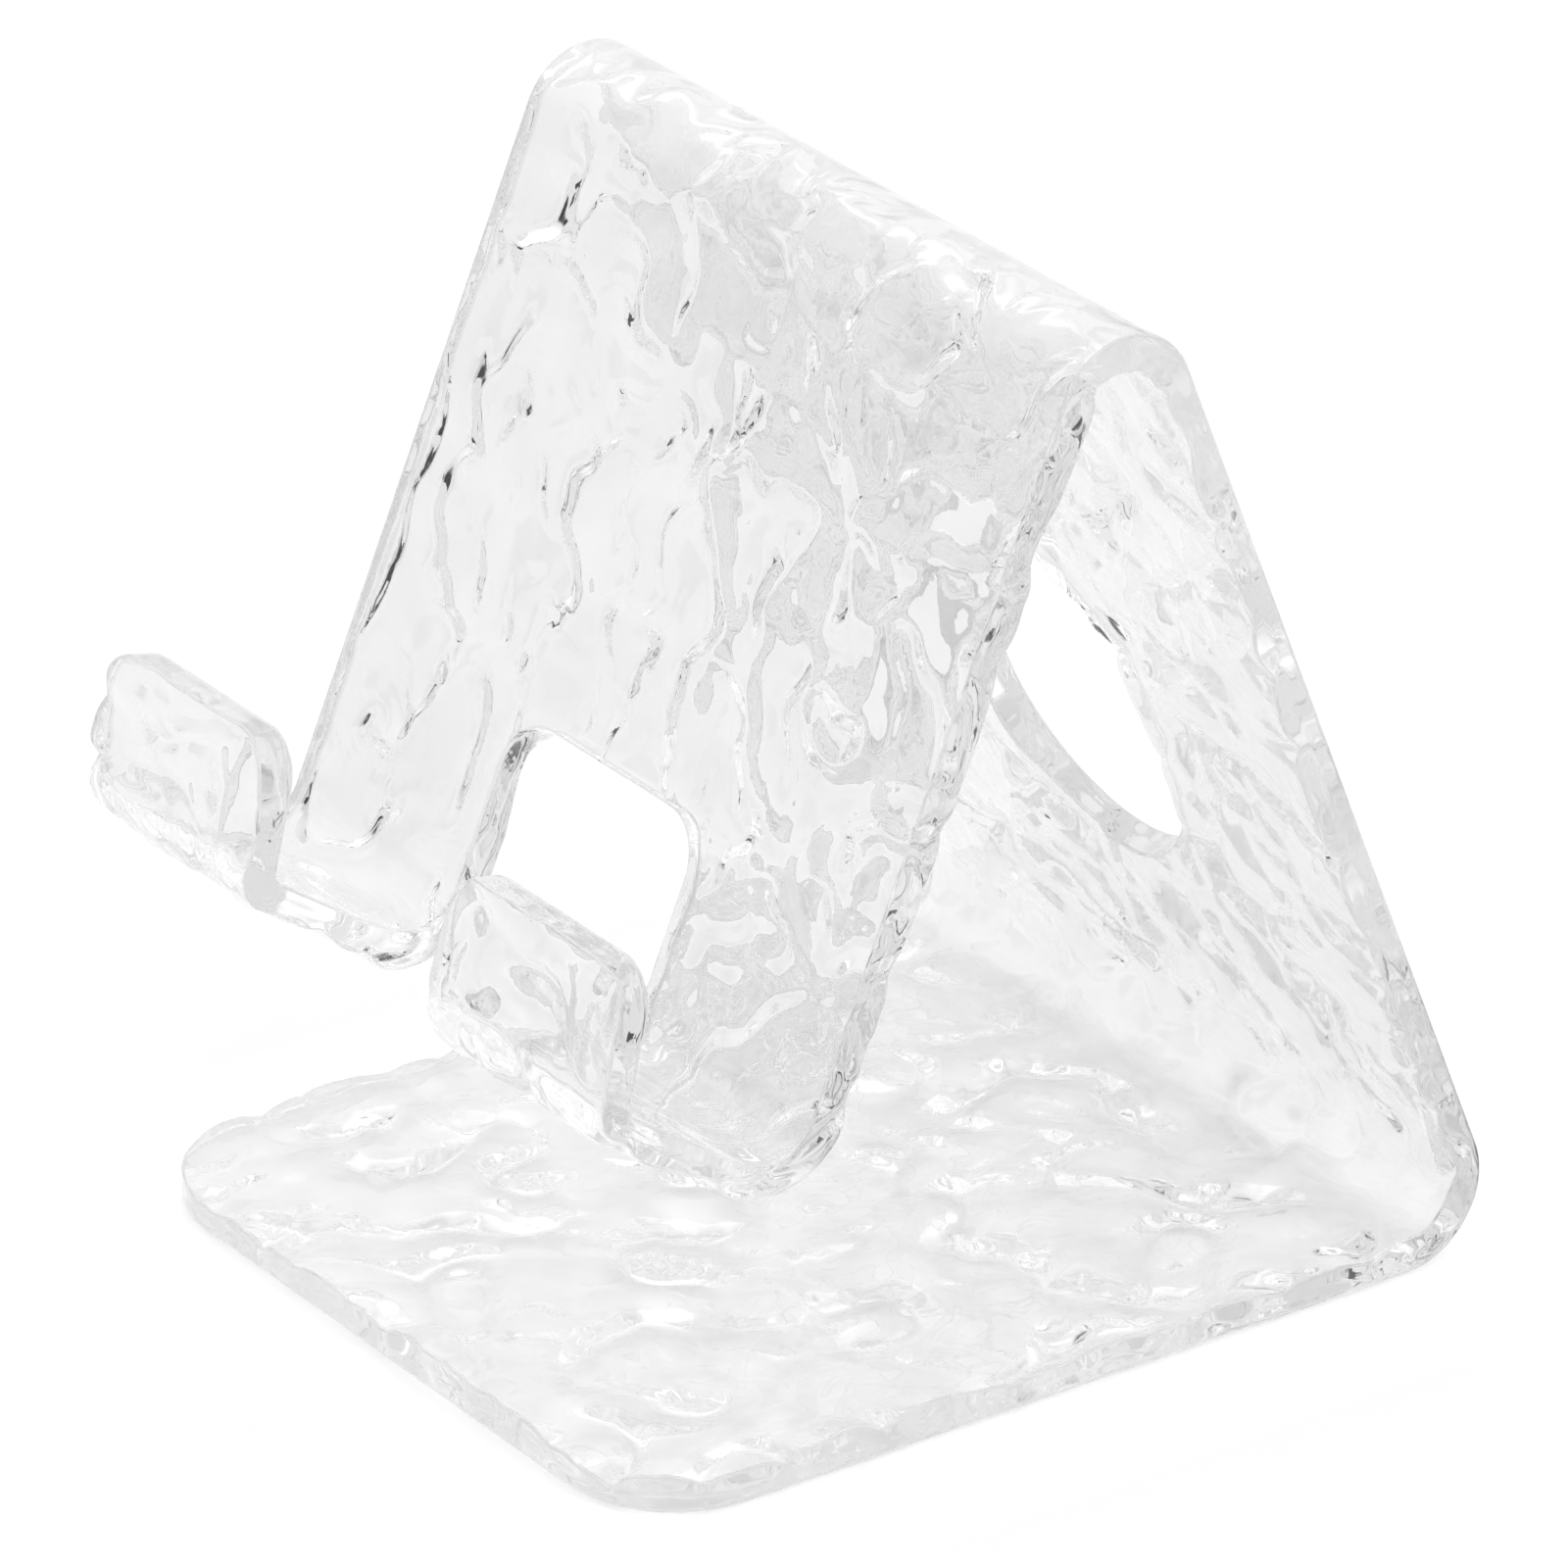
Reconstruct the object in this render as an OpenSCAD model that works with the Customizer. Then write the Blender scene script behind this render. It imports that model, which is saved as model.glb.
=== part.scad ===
// Phone stand bent from one clear acrylic sheet with a rippled face.
// Side view: a flat base, a back panel that rises from its rear and leans
// forward, a front panel that slopes down again as the phone rest, and two
// hooks at its lower end that turn up into lips.
// +X is the right side seen from the front, +Y the back, +Z up.
// The origin is the centre of the footprint, on the base's underside.
// The sheet is drawn in sections that meet face to face at the bend lines.

/* [Sheet] */
// width of the stand
stand_w = 80; // [70:1:100]
// thickness of the sheet, over the crests of its ripple
sheet_t = 4; // [3:0.5:6]

/* [Base] */
// flat length of the base, from the front edge to the rear bend
base_flat = 82.5; // [70:0.5:100]
// radius of the base's two front corners
base_corner_r = 11; // [2:0.5:16]
// inside radius of the rear bend
rear_r = 4; // [2:0.5:8]

/* [Back panel] */
// slope of the back panel above the horizontal
back_angle = 68.25; // [55:0.25:80]
// flat length of the back panel
back_flat = 90; // [70:0.5:110]
// width of the cable window
window_w = 28; // [16:0.5:40]
// height of the cable window along the panel
window_h = 36; // [20:0.5:50]
// centre of the window above the rear bend, along the panel
window_pos = 37; // [25:0.5:55]
// inside radius of the top bend
top_r = 3; // [2:0.5:8]

/* [Front panel] */
// slope of the front panel above the horizontal
front_angle = 66.75; // [55:0.25:80]
// flat length of the front panel
front_flat = 65; // [50:0.5:90]
// width of the cable notch between the hooks
notch_w = 28; // [16:0.5:40]
// height of the notch above the lower bend, along the panel
notch_h = 16.5; // [8:0.5:30]
// radius of the notch's two upper corners
notch_corner_r = 5; // [1:0.5:8]

/* [Hooks] */
// inside radius of the lower bend
lower_r = 5; // [2:0.5:8]
// rise of the shelf above the horizontal, going forward
shelf_angle = 34.5; // [10:0.5:45]
// flat length of the shelf
shelf_flat = 13; // [6:0.5:25]
// inside radius of the bend below the lip
lip_r = 1.5; // [1:0.5:6]
// slope of the lip above the horizontal
lip_angle = 77; // [60:0.5:90]
// flat length of the lip
lip_flat = 12; // [6:0.5:20]
// radius of the lip's two upper corners
lip_corner_r = 4.5; // [1:0.5:8]

/* [Hidden] */
$fn = 96;
half_w = stand_w / 2;
half_t = sheet_t / 2;
hook_w = (stand_w - notch_w) / 2;
hook_x = notch_w / 2;

// Turning angle of each bend.
rear_turn = 180 - back_angle;
top_turn = back_angle + front_angle;
lower_turn = front_angle + shelf_angle;
lip_turn = 180 - shelf_angle - lip_angle;

// Heading of the sheet's middle plane along each flat, in the side view.
// 0 is straight back and 90 is straight up.
back_head = 180 - back_angle;
front_head = 180 + front_angle;
shelf_head = 180 - shelf_angle;
lip_head = lip_angle;

// Radius of the middle plane in each bend.
rear_m = rear_r + half_t;
top_m = top_r + half_t;
lower_m = lower_r + half_t;
lip_m = lip_r + half_t;

// Points of the middle plane in the side view as [y, z], counted from the
// base's front edge: each bend's centre, then the flat that follows it.
rear_c = [base_flat, half_t + rear_m];
back_p = rear_c + rear_m * [sin(back_head), -cos(back_head)];
back_end = back_p + back_flat * [cos(back_head), sin(back_head)];
top_c = back_end + top_m * [-sin(back_head), cos(back_head)];
front_p = top_c + top_m * [sin(front_head), -cos(front_head)];
front_end = front_p + front_flat * [cos(front_head), sin(front_head)];
lower_c = front_end - lower_m * [-sin(front_head), cos(front_head)];
shelf_p = lower_c + lower_m * [-sin(shelf_head), cos(shelf_head)];
shelf_end = shelf_p + shelf_flat * [cos(shelf_head), sin(shelf_head)];
lip_c = shelf_end - lip_m * [-sin(shelf_head), cos(shelf_head)];
lip_p = lip_c + lip_m * [-sin(lip_head), cos(lip_head)];

// The rear bend and the lips reach furthest back and forward.
back_most = base_flat + rear_r + sheet_t;
front_most = lip_c[0] - lip_r - sheet_t;
shift_y = -(back_most + front_most) / 2;

clear_acrylic = [0.86, 0.89, 0.90, 0.45];

// Puts a section at a point of the middle plane, turned to its heading.
module along(point, head) {
  translate([0, point[0] + shift_y, point[1]])
    rotate([head, 0, 0])
      children();
}

// A flat stretch of sheet from a 2D outline: x across, y along.
module flat_sheet() {
  translate([0, 0, -half_t])
    linear_extrude(height = sheet_t)
      children();
}

// A bend towards the rippled face, over x0 to x0 + w.
module bend_in(x0, w, r, turn) {
  translate([0, 0, r + half_t])
    rotate([0, 90, 0])
      rotate_extrude(angle = turn)
        translate([r, x0])
          square([sheet_t, w]);
}

// A bend towards the smooth face, over x0 to x0 + w.
module bend_out(x0, w, r, turn) {
  mirror([0, 0, 1])
    bend_in(x0, w, r, turn);
}

// A rectangle from x0 to x1 and y0 to y1 with its two corners at y1 rounded.
module round_top(x0, x1, y0, y1, r) {
  translate([x0, y0])
    square([x1 - x0, y1 - r - y0]);
  translate([x0 + r, y0])
    square([x1 - x0 - 2 * r, y1 - y0]);
  translate([x0 + r, y1 - r])
    circle(r = r);
  translate([x1 - r, y1 - r])
    circle(r = r);
}

// The window: two half circles joined by straight sides.
module window_shape() {
  straight = window_h - window_w;
  translate([-window_w / 2, window_pos - straight / 2])
    square([window_w, straight]);
  translate([0, window_pos - straight / 2])
    circle(r = window_w / 2);
  translate([0, window_pos + straight / 2])
    circle(r = window_w / 2);
}

// Base, with rounded front corners, lying flat on the desk.
module base_plate() {
  color(clear_acrylic)
    along([0, half_t], 0)
      flat_sheet()
        translate([0, base_flat])
          mirror([0, 1])
            round_top(-half_w, half_w, 0, base_flat, base_corner_r);
}

// Bend that turns the base up into the back panel.
module rear_bend() {
  color(clear_acrylic)
    along([base_flat, half_t], 0)
      bend_in(-half_w, stand_w, rear_r, rear_turn);
}

// Back panel with its oval cable window.
module back_panel() {
  color(clear_acrylic)
    along(back_p, back_head)
      flat_sheet()
        difference() {
          translate([-half_w, 0])
            square([stand_w, back_flat]);
          window_shape();
        }
}

// Rounded ridge where the back panel turns down into the front panel.
module top_bend() {
  color(clear_acrylic)
    along(back_end, back_head)
      bend_in(-half_w, stand_w, top_r, top_turn);
}

// Front panel, the phone's rest, with the notch in its lower edge.
module front_panel() {
  color(clear_acrylic)
    along(front_p, front_head)
      flat_sheet()
        difference() {
          translate([-half_w, 0])
            square([stand_w, front_flat]);
          translate([0, front_flat + 1])
            mirror([0, 1])
              round_top(-hook_x, hook_x, 0, notch_h + 1, notch_corner_r);
        }
}

// Bend from the front panel into a hook's shelf.
module lower_bend(x0) {
  along(front_end, front_head)
    bend_out(x0, hook_w, lower_r, lower_turn);
}

// Flat shelf that carries the phone's lower edge.
module shelf(x0) {
  along(shelf_p, shelf_head)
    flat_sheet()
      translate([x0, 0])
        square([hook_w, shelf_flat]);
}

// Tight bend between the shelf and the lip.
module lip_bend(x0) {
  along(shelf_end, shelf_head)
    bend_out(x0, hook_w, lip_r, lip_turn);
}

// Lip that stops the phone sliding off, with rounded upper corners.
module lip(x0) {
  along(lip_p, lip_head)
    flat_sheet()
      round_top(x0, x0 + hook_w, 0, lip_flat, lip_corner_r);
}

// The left hook's four sections.
module left_lower_bend() {
  color(clear_acrylic)
    lower_bend(-half_w);
}

module left_shelf() {
  color(clear_acrylic)
    shelf(-half_w);
}

module left_lip_bend() {
  color(clear_acrylic)
    lip_bend(-half_w);
}

module left_lip() {
  color(clear_acrylic)
    lip(-half_w);
}

// The right hook's four sections.
module right_lower_bend() {
  color(clear_acrylic)
    lower_bend(hook_x);
}

module right_shelf() {
  color(clear_acrylic)
    shelf(hook_x);
}

module right_lip_bend() {
  color(clear_acrylic)
    lip_bend(hook_x);
}

module right_lip() {
  color(clear_acrylic)
    lip(hook_x);
}

base_plate();
rear_bend();
back_panel();
top_bend();
front_panel();
left_lower_bend();
left_shelf();
left_lip_bend();
left_lip();
right_lower_bend();
right_shelf();
right_lip_bend();
right_lip();
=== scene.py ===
"""Clear acrylic phone stand: one sheet with a water-ripple face, cut flat and then bent."""
import math

import bpy
import numpy as np
from mathutils import Matrix, Vector, geometry


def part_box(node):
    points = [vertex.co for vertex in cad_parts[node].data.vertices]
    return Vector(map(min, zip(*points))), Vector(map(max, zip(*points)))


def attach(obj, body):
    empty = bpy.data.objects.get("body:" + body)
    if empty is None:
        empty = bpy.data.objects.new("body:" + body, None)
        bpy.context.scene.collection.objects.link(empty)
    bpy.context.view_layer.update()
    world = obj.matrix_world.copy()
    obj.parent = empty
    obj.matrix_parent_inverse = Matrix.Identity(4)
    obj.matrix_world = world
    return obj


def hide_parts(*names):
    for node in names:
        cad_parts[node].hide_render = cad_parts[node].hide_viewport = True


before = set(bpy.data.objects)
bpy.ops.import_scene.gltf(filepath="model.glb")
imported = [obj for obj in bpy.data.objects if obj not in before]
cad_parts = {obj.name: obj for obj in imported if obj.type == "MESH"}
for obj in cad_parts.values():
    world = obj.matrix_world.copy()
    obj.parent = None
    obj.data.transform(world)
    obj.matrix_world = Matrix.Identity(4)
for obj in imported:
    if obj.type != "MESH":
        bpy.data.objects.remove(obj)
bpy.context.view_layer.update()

MM = 0.001

# ---------------------------------------------------------------- sheet sizes, in mm
base_low, base_high = (np.array(corner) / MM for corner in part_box("base_plate"))
HALF_W = (base_high[0] - base_low[0]) / 2
THICK = base_high[2] - base_low[2]
HALF_T = THICK / 2
BASE_FRONT_Y = base_low[1]

# The side view from the base's front edge to the lips' ends.
# A flat is (length, 0); a bend is (inside radius, turn in degrees), and a bend
# turns towards the rippled face where its turn is positive.
BASE, REAR, BACK, TOP, FRONT, LOWER, SHELF, LIP_BEND, LIP = range(9)
SIDE_VIEW = [
    (82.5, 0),
    (4.0, 111.75),
    (90.0, 0),
    (3.0, 135.0),
    (65.0, 0),
    (5.0, -101.25),
    (13.0, 0),
    (1.5, -68.5),
    (12.0, 0),
]

BASE_CORNER_R = 11.0
WINDOW_W, WINDOW_H, WINDOW_POS = 28.0, 36.0, 37.0
NOTCH_W, NOTCH_H, NOTCH_CORNER_R = 28.0, 16.5, 5.0
LIP_CORNER_R = 4.5

# ---------------------------------------------------------------- mesh steps, in mm
EDGE_STEP = 0.62  # along the cut edges
RIPPLE_STEP = 0.61  # across the rippled face
SMOOTH_STEP = 1.7  # across the smooth face
EDGE_ROUND = 0.3  # radius left on the cut edges' corners
ROUND_STEPS, WALL_STEPS = 3, 3  # rows of the mesh on such a corner and between two of them
EDGE_GAP = 0.6  # of a step, kept free between the outline and the points inside it
MERGE = 1e-6  # closer points count as one


def side_view_sections():
    """Each section as a dict: where it starts along the sheet, its place, heading and curvature."""
    sections, v, place, heading = [], 0.0, np.array([BASE_FRONT_Y, HALF_T]), 0.0
    for size, turn in SIDE_VIEW:
        if turn:
            radius = math.copysign(size + HALF_T, turn)
            length = abs(radius * math.radians(turn))
        else:
            radius, length = math.inf, size
        sections.append(dict(v=v, length=length, place=place, heading=heading, radius=radius))
        if turn:
            centre = place + radius * np.array([-math.sin(heading), math.cos(heading)])
            heading += math.radians(turn)
            place = centre - radius * np.array([-math.sin(heading), math.cos(heading)])
        else:
            place = place + length * np.array([math.cos(heading), math.sin(heading)])
        v += length
    return sections


SECTIONS = side_view_sections()
LENGTH = SECTIONS[LIP]["v"] + SECTIONS[LIP]["length"]
WINDOW_V = SECTIONS[BACK]["v"] + WINDOW_POS
NOTCH_V = SECTIONS[LOWER]["v"] - NOTCH_H


def bend(u, v, n):
    """Flat-pattern points (u across, v along, n towards the rippled face) as bent points, in mm."""
    y, z = np.zeros_like(v), np.zeros_like(v)
    for i, section in enumerate(SECTIONS):
        end = section["v"] + section["length"]
        here = (v >= section["v"]) & (v < end)
        if i == BASE:
            here |= v < 0
        if i == LIP:
            here |= v >= end
        along, off, heading = v[here] - section["v"], n[here], section["heading"]
        start_y, start_z = section["place"]
        if math.isinf(section["radius"]):
            y[here] = start_y + along * math.cos(heading) - off * math.sin(heading)
            z[here] = start_z + along * math.sin(heading) + off * math.cos(heading)
        else:
            radius = section["radius"]
            turned = heading + along / radius
            y[here] = start_y - radius * math.sin(heading) + (radius - off) * np.sin(turned)
            z[here] = start_z + radius * math.cos(heading) - (radius - off) * np.cos(turned)
    return np.stack([u, y, z], axis=1)


# ---------------------------------------------------------------- flat pattern
def arc(centre_u, centre_v, r, start, end):
    """Points of an arc, angles in degrees, about EDGE_STEP apart."""
    steps = max(2, int(abs(math.radians(end - start)) * r / EDGE_STEP))
    a = np.radians(np.linspace(start, end, steps + 1))
    return np.stack([centre_u + r * np.cos(a), centre_v + r * np.sin(a)], axis=1)


def joined(*arcs):
    """One closed loop from arcs, with the straight gaps between them filled in."""
    loop = []
    for here, after in zip(arcs, arcs[1:] + arcs[:1]):
        loop.append(here)
        gap = after[0] - here[-1]
        steps = int(np.linalg.norm(gap) / EDGE_STEP)
        share = np.arange(1, steps)[:, None] / max(steps, 1)
        loop.append(here[-1] + share * gap)
    return np.concatenate(loop)


def outer_loop():
    """The sheet's outline, counter-clockwise, with the notch between the hooks."""
    w, b, r, q = HALF_W, BASE_CORNER_R, LIP_CORNER_R, NOTCH_CORNER_R
    n = NOTCH_W / 2
    return joined(
        arc(b - w, b, b, 180, 270),
        arc(w - b, b, b, 270, 360),
        arc(w - r, LENGTH - r, r, 0, 90),
        arc(n + r, LENGTH - r, r, 90, 180),
        arc(n - q, NOTCH_V + q, q, 0, -90),
        arc(q - n, NOTCH_V + q, q, 270, 180),
        arc(-n - r, LENGTH - r, r, 0, 90),
        arc(r - w, LENGTH - r, r, 90, 180),
    )


def window_loop():
    """The cable window's outline, clockwise, so that the sheet is on its left."""
    r, straight = WINDOW_W / 2, (WINDOW_H - WINDOW_W) / 2
    return joined(arc(0, WINDOW_V + straight, r, 180, 0), arc(0, WINDOW_V - straight, r, 0, -180))


def moved_in(loop, distance):
    """The loop moved towards the sheet's material, which is on its left."""
    tangent = np.roll(loop, -1, 0) - np.roll(loop, 1, 0)
    tangent /= np.linalg.norm(tangent, axis=1)[:, None]
    return loop + distance * np.stack([-tangent[:, 1], tangent[:, 0]], axis=1)


def inside(points, loops):
    """Whether each point is in the sheet, by counting crossings."""
    u, v = points.T
    odd = np.zeros(len(points), bool)
    for loop in loops:
        for (au, av), (bu, bv) in zip(loop, np.roll(loop, -1, 0)):
            if av != bv:
                odd ^= ((av > v) != (bv > v)) & (u < (bu - au) * (v - av) / (bv - av) + au)
    return odd


def clear_of(points, loops, distance):
    """Whether each point is farther than that from all of the loops' points."""
    u, v = points.T
    keep = np.ones(len(points), bool)
    for edge_u, edge_v in np.concatenate(loops):
        keep &= (u - edge_u) ** 2 + (v - edge_v) ** 2 > distance**2
    return keep


def grid_points(step):
    """Points in staggered rows over the sheet's whole width and length."""
    rows = []
    for i, v in enumerate(np.arange(0, LENGTH, step * math.sqrt(3) / 2)):
        u = np.arange(-HALF_W + (i % 2) * step / 2, HALF_W, step)
        rows.append(np.stack([u, np.full_like(u, v)], axis=1))
    return np.concatenate(rows)


def triangles(loops, step):
    """Points and triangles that fill the loops; the loops' own points come first."""
    grid = grid_points(step)
    grid = grid[inside(grid, loops)]
    grid = grid[clear_of(grid, loops, EDGE_GAP * step)]
    points = np.concatenate(loops + [grid])
    edges, start = [], 0
    for loop in loops:
        n = len(loop)
        edges += [(start + i, start + (i + 1) % n) for i in range(n)]
        start += n
    out = geometry.delaunay_2d_cdt([Vector(p) for p in points], edges, [], 0, MERGE)
    source = np.array([o[0] for o in out[3]])
    faces = source[np.array(out[2])]
    middle = points[faces].mean(axis=1)
    return points, faces[inside(middle, loops)]


# ---------------------------------------------------------------- ripple, in mm
RNG = np.random.default_rng(40)
TABLE = 64
SLANT_TABLE = RNG.random((TABLE, TABLE, 6)) * 2 * math.pi
GAIN = 1.5  # brings the noise to about -1 to 1

LEVEL, DEEPEST = 0.35, 2.6  # depth below the crests, on the whole and at most
BLUNT, STEEPNESS = 0.02, 1.3  # of the valleys' cross-section

# Two sizes of winding, and how far each moves the valleys aside.
WIND_SIZE, WIND = 9, 2.4
CURL_SIZE, CURL = 3.6, 0.7

# Three sizes of valley: how far apart, how wide in that measure, and how deep.
LARGE_SIZE, LARGE_WIDTH, LARGE_DEPTH = 13, 0.16, 1.35
MIDDLE_SIZE, MIDDLE_WIDTH, MIDDLE_DEPTH = 6.5, 0.22, 0.4
SMALL_SIZE, SMALL_WIDTH, SMALL_DEPTH = 4, 0.3, 0.06

# Two sizes of soft swell, and how high.
BROAD_SIZE, BROAD = 11, 0.35
FINE_SIZE, FINE = 5, 0.18


def noise(x, y, layer):
    """Gradient noise from about -1 to 1, with a feature about every unit and a quintic fade."""
    ix, iy = np.floor(x).astype(int), np.floor(y).astype(int)
    fx, fy = x - ix, y - iy
    sx, sy = (f * f * f * (f * (f * 6 - 15) + 10) for f in (fx, fy))

    def corner(i, j):
        angle = SLANT_TABLE[(ix + i) % TABLE, (iy + j) % TABLE, layer]
        return np.cos(angle) * (fx - i) + np.sin(angle) * (fy - j)

    low = corner(0, 0) * (1 - sx) + corner(1, 0) * sx
    high = corner(0, 1) * (1 - sx) + corner(1, 1) * sx
    return GAIN * (low * (1 - sy) + high * sy)


def valleys(x, y, layer, width):
    """1 along winding lines, falling to 0 within about that width on both sides."""
    t = (np.sqrt(noise(x, y, layer) ** 2 + BLUNT**2) - BLUNT) / width
    return np.exp(-(t**STEEPNESS))


def varied(x, y, middle, swing, least, most):
    """A strength that changes slowly from place to place."""
    return np.clip(middle + swing * noise(x, y, 5), least, most)


def ripple_depth(u, v):
    """How far the rippled face lies below its crests.

    The numbers added inside the calls only pick other stretches of the noise.
    """
    across = WIND * noise(u / WIND_SIZE, v / WIND_SIZE, 0)
    across += CURL * noise(u / CURL_SIZE, v / CURL_SIZE, 1)
    along = WIND * noise(u / WIND_SIZE + 30, v / WIND_SIZE, 1)
    along += CURL * noise(u / CURL_SIZE, v / CURL_SIZE + 20, 0)
    wu, wv = u + across, v + along

    strong = varied(u / 13 + 9, v / 13, middle=0.55, swing=0.9, least=0.15, most=1.1)
    some = varied(u / 9 + 5, v / 9 + 40, middle=0.6, swing=1.1, least=0.15, most=1)
    large = valleys(wu / LARGE_SIZE, wv / LARGE_SIZE, 2, LARGE_WIDTH) * strong
    middle = valleys(wu / MIDDLE_SIZE + 7, wv / MIDDLE_SIZE + 3, 3, MIDDLE_WIDTH) * some
    small = valleys(wu / SMALL_SIZE + 3, wv / SMALL_SIZE + 9, 4, SMALL_WIDTH) * (1.1 - some)
    swell = BROAD * noise(wu / BROAD_SIZE, wv / BROAD_SIZE + 8, 3)
    swell += FINE * noise(u / FINE_SIZE + 3, v / FINE_SIZE, 4)
    depth = LARGE_DEPTH * large + MIDDLE_DEPTH * middle + SMALL_DEPTH * small
    return np.clip(LEVEL + depth + swell, 0, DEEPEST)


# ---------------------------------------------------------------- sheet
RIPPLED, SMOOTH, CUT = range(3)
FLAT_PATTERN = "flat_pattern"


def edge_profile(top):
    """The cut edge's rows from the rippled face down: how far out each is, and its height."""
    n, bottom, rows = len(top), -HALF_T, []
    for k in range(1, ROUND_STEPS + 1):
        a = math.pi / 2 * k / ROUND_STEPS
        rows.append((math.sin(a), top - EDGE_ROUND * (1 - math.cos(a))))
    wall_top, wall_low = top - EDGE_ROUND, np.full(n, bottom + EDGE_ROUND)
    for k in range(1, WALL_STEPS):
        rows.append((1, wall_top + (wall_low - wall_top) * k / WALL_STEPS))
    for k in range(ROUND_STEPS, 0, -1):
        a = math.pi / 2 * k / ROUND_STEPS
        rows.append((math.sin(a), np.full(n, bottom + EDGE_ROUND * (1 - math.cos(a)))))
    return rows


def sheet_shape():
    """Flat-pattern points (u, v, n), triangles, and which surface each triangle is on."""
    loops = [outer_loop(), window_loop()]
    inner = [moved_in(loop, EDGE_ROUND) for loop in loops]
    top, top_faces = triangles(inner, RIPPLE_STEP)
    low, low_faces = triangles(inner, SMOOTH_STEP)

    points = [
        np.column_stack([top, HALF_T - ripple_depth(*top.T)]),
        np.column_stack([low, np.full(len(low), -HALF_T)]),
    ]
    faces = [top_faces, low_faces[:, ::-1] + len(top)]
    count, start = len(top) + len(low), 0
    for loop, inset in zip(loops, inner):
        n = len(loop)
        rows = [start + np.arange(n)]
        for share, height in edge_profile(HALF_T - ripple_depth(*inset.T)):
            points.append(np.column_stack([inset + (loop - inset) * share, height]))
            rows.append(count + np.arange(n))
            count += n
        rows.append(len(top) + start + np.arange(n))
        for a, b in zip(rows, rows[1:]):
            a2, b2 = np.roll(a, -1), np.roll(b, -1)
            faces += [np.stack([a, b, b2], axis=1), np.stack([a, b2, a2], axis=1)]
        start += n
    surface = [RIPPLED, SMOOTH] + [CUT] * (len(faces) - 2)
    surface = np.repeat(surface, [len(f) for f in faces])
    return np.concatenate(points), np.concatenate(faces), surface


def sheet_object():
    """The bent sheet as one closed mesh, with its flat pattern as a UV map in metres."""
    points, faces, surface = sheet_shape()
    mesh = bpy.data.meshes.new("acrylic_sheet")
    mesh.from_pydata((bend(*points.T) * MM).tolist(), [], faces.tolist())
    mesh.polygons.foreach_set("use_smooth", np.ones(len(faces), bool))
    mesh.polygons.foreach_set("material_index", surface)
    uv = mesh.uv_layers.new(name=FLAT_PATTERN)
    uv.data.foreach_set("uv", (points[faces.ravel(), :2] * MM).astype(np.float32).ravel())
    mesh.validate()
    sheet = bpy.data.objects.new("acrylic_sheet", mesh)
    bpy.context.scene.collection.objects.link(sheet)
    return sheet


# ---------------------------------------------------------------- acrylic
IOR = 1.49
HUE = np.array([1, 1, 1.001])  # neutral but for a trace of blue
TINT_SPREAD = 0.025  # how much paler and deeper the tint gets
TINT_SIZE, DULL_SIZE = 7.0, 3.0  # of the uneven spots, in mm
TINT_FROM, TINT_TO = 0.3, 0.7  # values of the noise at the deepest and the palest tint
DULL_FROM, DULL_TO = 0.45, 0.75  # values of the noise at the glossiest and the dullest
NOISE_DETAIL = 2  # finer layers in each noise texture


def acrylic(name, tint, relief_size, relief_height, dullest):
    """Clear acrylic, unevenly pale and glossy, with fine relief of that size and height in mm."""
    material = bpy.data.materials.new(name)
    material.use_nodes = True
    nodes, links = material.node_tree.nodes, material.node_tree.links
    shader = nodes["Principled BSDF"]
    shader.inputs["Transmission Weight"].default_value = 1
    shader.inputs["IOR"].default_value = IOR
    pattern = nodes.new("ShaderNodeUVMap")
    pattern.uv_map = FLAT_PATTERN

    def uneven(size):
        texture = nodes.new("ShaderNodeTexNoise")
        texture.inputs["Scale"].default_value = 1 / (size * MM)
        texture.inputs["Detail"].default_value = NOISE_DETAIL
        links.new(pattern.outputs["UV"], texture.inputs["Vector"])
        return texture.outputs[0]

    colour = nodes.new("ShaderNodeValToRGB")
    deep, pale = colour.color_ramp.elements
    deep.position, deep.color = TINT_FROM, (*(HUE * (tint - TINT_SPREAD)), 1)
    pale.position, pale.color = TINT_TO, (*(HUE * (tint + TINT_SPREAD)), 1)
    links.new(uneven(TINT_SIZE), colour.inputs["Fac"])
    links.new(colour.outputs["Color"], shader.inputs["Base Color"])

    dull = nodes.new("ShaderNodeMapRange")
    dull.inputs["From Min"].default_value = DULL_FROM
    dull.inputs["From Max"].default_value = DULL_TO
    dull.inputs["To Max"].default_value = dullest
    links.new(uneven(DULL_SIZE), dull.inputs["Value"])
    links.new(dull.outputs["Result"], shader.inputs["Roughness"])

    relief = nodes.new("ShaderNodeBump")
    relief.inputs["Strength"].default_value = 1
    relief.inputs["Distance"].default_value = relief_height * MM
    links.new(uneven(relief_size), relief.inputs["Height"])
    links.new(relief.outputs["Normal"], shader.inputs["Normal"])
    return material


sheet = sheet_object()
for material in (
    acrylic("rippled_acrylic", tint=0.86, relief_size=2.5, relief_height=0.03, dullest=0.02),
    acrylic("smooth_acrylic", tint=0.86, relief_size=12, relief_height=0.08, dullest=0),
    acrylic("laser_cut_acrylic", tint=0.7, relief_size=0.5, relief_height=0.01, dullest=0.05),
):
    sheet.data.materials.append(material)
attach(sheet, "root")
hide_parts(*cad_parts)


# ---------------------------------------------------------------- studio, in metres
FLOOR_HALF = 6.0
FLOOR_GAP = 0.0002  # below the sheet, so that the two don't share a plane
FLOOR_ROUGHNESS = 0.9
FLOOR_PAINTED_POOL, FLOOR_FAR = 0.955, 0.82  # its white under the base, made whiter there by a painted pool of light, and away from it
PAINTED_POOL_FADE = 0.016  # how far beyond the base the painted pool of light turns into the plain white
BASE_MIDDLE = (base_high + base_low) / 2 * MM
BASE_HALF = (base_high - base_low) / 2 * MM
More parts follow.
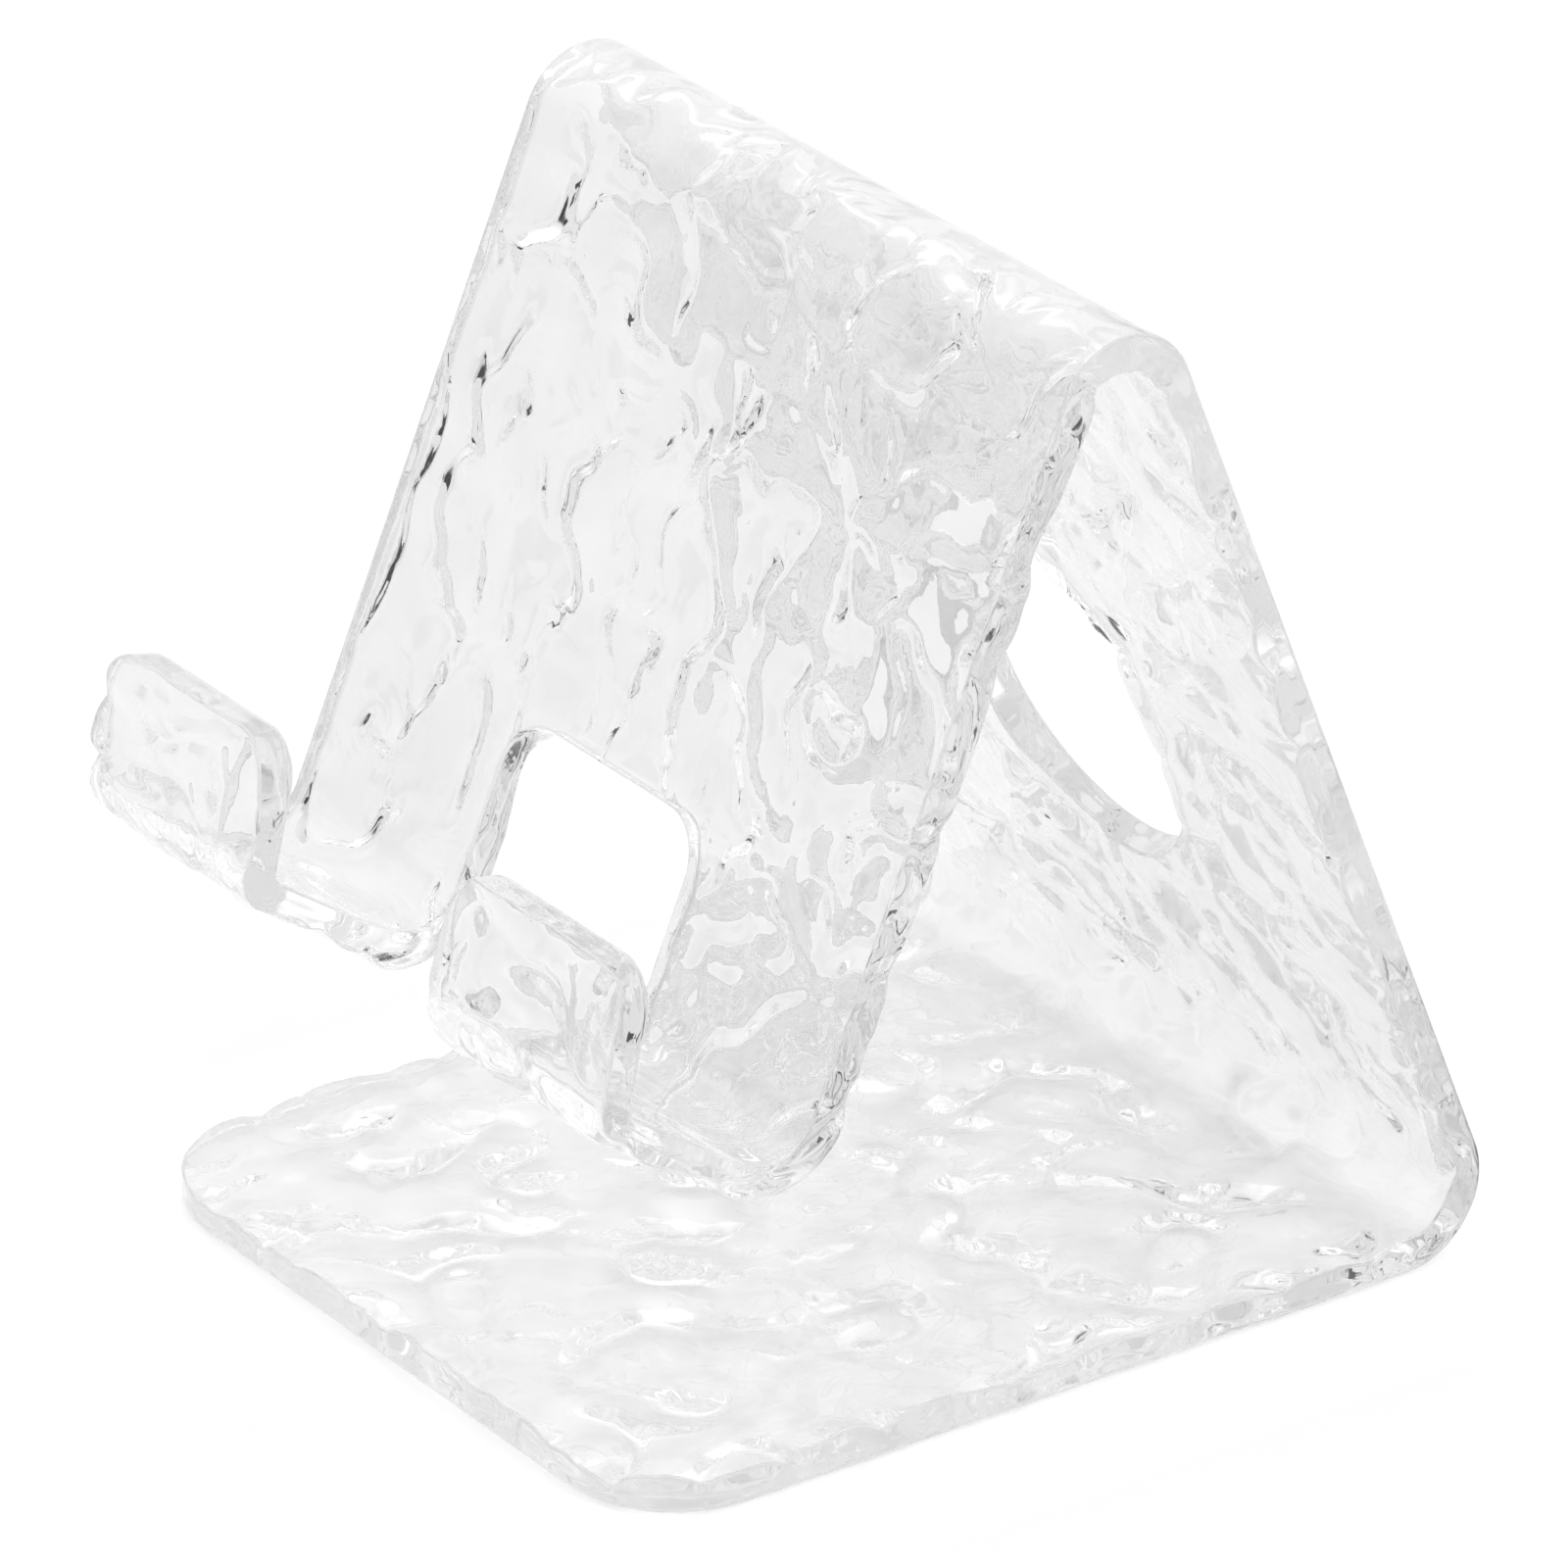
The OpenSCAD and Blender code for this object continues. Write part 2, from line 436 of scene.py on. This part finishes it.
SKY, HORIZON = 1.55, 1.0  # light from above, and at the level of the floor
HORIZON_TOP, SKY_FROM = 6, 60  # elevations between which one turns into the other

# Dim patches in the white surround: the direction of the middle as azimuth and
# elevation, the radii where it is full and gone, and the light left in it.
# Azimuth 0 is in front of the stand and 90 at its right.
DIM_PATCHES = [
    (-10, 15, 40, 80, 0.8),
    (-64, 8, 9, 20, 0.05),
    (55, 25, 8, 19, 0.02),
]


def direction(azimuth, elevation):
    """A unit vector from angles in degrees."""
    a, e = math.radians(azimuth), math.radians(elevation)
    return Vector((math.sin(a) * math.cos(e), -math.cos(a) * math.cos(e), math.sin(e)))


def beyond_base(nodes, links):
    """The node output that says how far a point is outside the base's box."""
    place = nodes.new("ShaderNodeTexCoord").outputs["Object"]
    for operation, operand in (
        ("SUBTRACT", BASE_MIDDLE),
        ("ABSOLUTE", Vector()),
        ("SUBTRACT", BASE_HALF),
        ("MAXIMUM", Vector()),
    ):
        step = nodes.new("ShaderNodeVectorMath")
        step.operation = operation
        step.inputs[1].default_value = operand
        links.new(place, step.inputs[0])
        place = step.outputs["Vector"]
    distance = nodes.new("ShaderNodeVectorMath")
    distance.operation = "LENGTH"
    links.new(place, distance.inputs[0])
    return distance.outputs["Value"]


def floor_with_painted_pool():
    """White, with a painted pool of light: a little whiter under the base, which shades it."""
    material = bpy.data.materials.new("floor")
    material.use_nodes = True
    nodes, links = material.node_tree.nodes, material.node_tree.links
    shader = nodes["Principled BSDF"]
    shader.inputs["Roughness"].default_value = FLOOR_ROUGHNESS
    # Painted pool of light: the floor's white is raised under the base and fades out just beyond
    # it.
    fade = nodes.new("ShaderNodeMapRange")
    fade.inputs["From Max"].default_value = PAINTED_POOL_FADE
    fade.inputs["To Min"].default_value = FLOOR_PAINTED_POOL
    fade.inputs["To Max"].default_value = FLOOR_FAR
    links.new(beyond_base(nodes, links), fade.inputs["Value"])
    links.new(fade.outputs["Result"], shader.inputs["Base Color"])
    return material


def make_floor():
    s = FLOOR_HALF
    mesh = bpy.data.meshes.new("floor")
    mesh.from_pydata([(-s, -s, 0), (s, -s, 0), (s, s, 0), (-s, s, 0)], [], [(0, 1, 2, 3)])
    mesh.materials.append(floor_with_painted_pool())
    floor = bpy.data.objects.new("floor", mesh)
    floor.location.z = -FLOOR_GAP
    bpy.context.scene.collection.objects.link(floor)


def make_surround():
    world = bpy.data.worlds.new("studio")
    bpy.context.scene.world = world
    world.use_nodes = True
    nodes, links = world.node_tree.nodes, world.node_tree.links
    where = nodes.new("ShaderNodeTexCoord").outputs["Generated"]
    height = nodes.new("ShaderNodeSeparateXYZ")
    links.new(where, height.inputs[0])
    rise = nodes.new("ShaderNodeMapRange")
    rise.interpolation_type = "SMOOTHSTEP"
    rise.inputs["From Min"].default_value = math.sin(math.radians(HORIZON_TOP))
    rise.inputs["From Max"].default_value = math.sin(math.radians(SKY_FROM))
    rise.inputs["To Min"].default_value = HORIZON
    rise.inputs["To Max"].default_value = SKY
    links.new(height.outputs["Z"], rise.inputs["Value"])
    light = rise.outputs["Result"]
    for azimuth, elevation, full, gone, left in DIM_PATCHES:
        towards = nodes.new("ShaderNodeVectorMath")
        towards.operation = "DOT_PRODUCT"
        towards.inputs[1].default_value = direction(azimuth, elevation)
        links.new(where, towards.inputs[0])
        fade = nodes.new("ShaderNodeMapRange")
        fade.interpolation_type = "SMOOTHSTEP"
        fade.inputs["From Min"].default_value = math.cos(math.radians(gone))
        fade.inputs["From Max"].default_value = math.cos(math.radians(full))
        fade.inputs["To Min"].default_value = 1
        fade.inputs["To Max"].default_value = left
        links.new(towards.outputs["Value"], fade.inputs["Value"])
        both = nodes.new("ShaderNodeMath")
        both.operation = "MULTIPLY"
        links.new(fade.outputs["Result"], both.inputs[0])
        links.new(light, both.inputs[1])
        light = both.outputs["Value"]
    links.new(light, nodes["Background"].inputs["Color"])


make_floor()
make_surround()

# ---------------------------------------------------------------- camera, in mm
AZIMUTH, ELEVATION = 54.69, 25.89
DISTANCE, LENS, SENSOR = 1066.6, 278.9, 36
TARGET = Vector((0, 2.15, 45.0))
AIM_RIGHT, AIM_UP = -1.51, -1.84
CLIP_END = 50  # metres, far beyond the floor's edges
BOUNCES = 40


def make_camera():
    back = direction(AZIMUTH, ELEVATION)
    right = direction(AZIMUTH + 90, 0)
    up = back.cross(right)
    place = TARGET + right * AIM_RIGHT + up * AIM_UP + back * DISTANCE
    camera = bpy.data.objects.new("camera", bpy.data.cameras.new("camera"))
    camera.data.lens = LENS
    camera.data.sensor_width = SENSOR
    camera.data.clip_end = CLIP_END
    turn = Matrix((right, up, back)).transposed()
    camera.matrix_world = Matrix.Translation(place * MM) @ turn.to_4x4()
    bpy.context.scene.collection.objects.link(camera)
    bpy.context.scene.camera = camera


def keep_light():
    """Lets light cross many clear surfaces, and shows the white floor as white."""
    cycles = bpy.context.scene.cycles
    cycles.max_bounces = BOUNCES
    cycles.transmission_bounces = BOUNCES
    cycles.glossy_bounces = BOUNCES
    cycles.blur_glossy = 0
    bpy.context.scene.view_settings.view_transform = "Standard"


make_camera()
keep_light()
